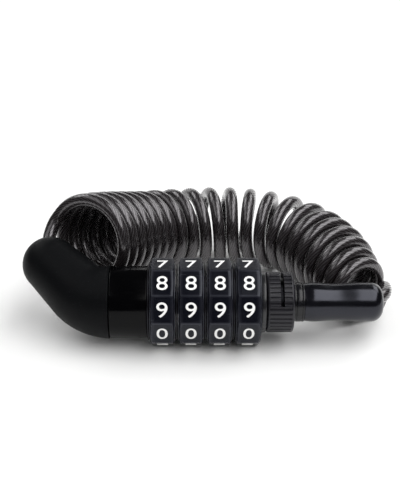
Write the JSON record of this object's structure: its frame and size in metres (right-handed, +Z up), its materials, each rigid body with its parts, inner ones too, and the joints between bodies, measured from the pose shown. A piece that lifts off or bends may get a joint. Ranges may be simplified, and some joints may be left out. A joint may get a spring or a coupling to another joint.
{
  "type": "cable lock",
  "caption": "Combination cable lock: faceted number dials on a slotted core, knurled reset ring, pull-out toothed plug, bent end cap and a long coiled steel cable",
  "frame": {"origin": "On the resting surface, under the middle of the second dial, on the lock's axis seen from above.", "axes": "+X along the lock towards the plug, +Y towards the coiled cable behind the lock, +Z up."},
  "size_m": [0.1338, 0.0939, 0.045],
  "materials": {
    "elbow_plastic": "fine matt moulding texture",
    "collar_plastic": "gloss",
    "dial_plastic": "satin",
    "digit_paint": "satin white paint",
    "washer_steel": "blackened",
    "flange_metal": "satin black",
    "ring_metal": "satin black over knurling",
    "neck_metal": "gloss black",
    "sleeve_plastic": "high gloss",
    "inner_metal": "plain",
    "cable_vinyl": "smoked clear vinyl over wire rope"
  },
  "bodies": {
    "root": {"elbow_cap": "elbow_plastic", "elbow_pin": "inner_metal", "elbow_ferrule": "inner_metal", "body_collar": "collar_plastic", "body_core": "inner_metal", "first_washer": "washer_steel", "spacer_ring_1": "washer_steel", "spacer_ring_2": "washer_steel", "spacer_ring_3": "washer_steel", "end_flange": "flange_metal", "reset_hub": "inner_metal", "guide_pin": "inner_metal", "hub_clip": "inner_metal", "cable_coil": "cable_vinyl"},
    "dial_body_1": {"dial_1": "dial_plastic", "code_sleeve_1": "inner_metal"},
    "dial_body_2": {"dial_2": "dial_plastic", "code_sleeve_2": "inner_metal"},
    "dial_body_3": {"dial_3": "dial_plastic", "code_sleeve_3": "inner_metal"},
    "dial_body_4": {"dial_4": "dial_plastic", "code_sleeve_4": "inner_metal"},
    "reset_body": {"reset_ring": "ring_metal"},
    "plug_body": {"plug_bolt": "inner_metal", "plug_neck": "neck_metal", "plug_sleeve": "sleeve_plastic", "plug_ferrule": "inner_metal", "plug_pin": "inner_metal"}
  },
  "joints": [
    {"name": "dial_1_turn", "type": "hinge", "parent": "root", "child": "dial_body_1", "pos_m": [-0.00977, 0, 0.01474], "axis": [1, 0, 0], "continuous": true},
    {"name": "dial_2_turn", "type": "hinge", "parent": "root", "child": "dial_body_2", "pos_m": [0, 0, 0.01474], "axis": [1, 0, 0], "continuous": true},
    {"name": "dial_3_turn", "type": "hinge", "parent": "root", "child": "dial_body_3", "pos_m": [0.00977, 0, 0.01474], "axis": [1, 0, 0], "continuous": true},
    {"name": "dial_4_turn", "type": "hinge", "parent": "root", "child": "dial_body_4", "pos_m": [0.01954, 0, 0.01474], "axis": [1, 0, 0], "continuous": true},
    {"name": "reset_turn", "type": "hinge", "parent": "root", "child": "reset_body", "pos_m": [0.03061, 0, 0.01474], "axis": [-1, 0, 0], "range_deg": [0, 90]},
    {"name": "plug_pull", "type": "slide", "parent": "root", "child": "plug_body", "axis": [1, 0, 0], "range_m": [0, 0.055], "deforming": ["cable_coil"]}
  ]
}
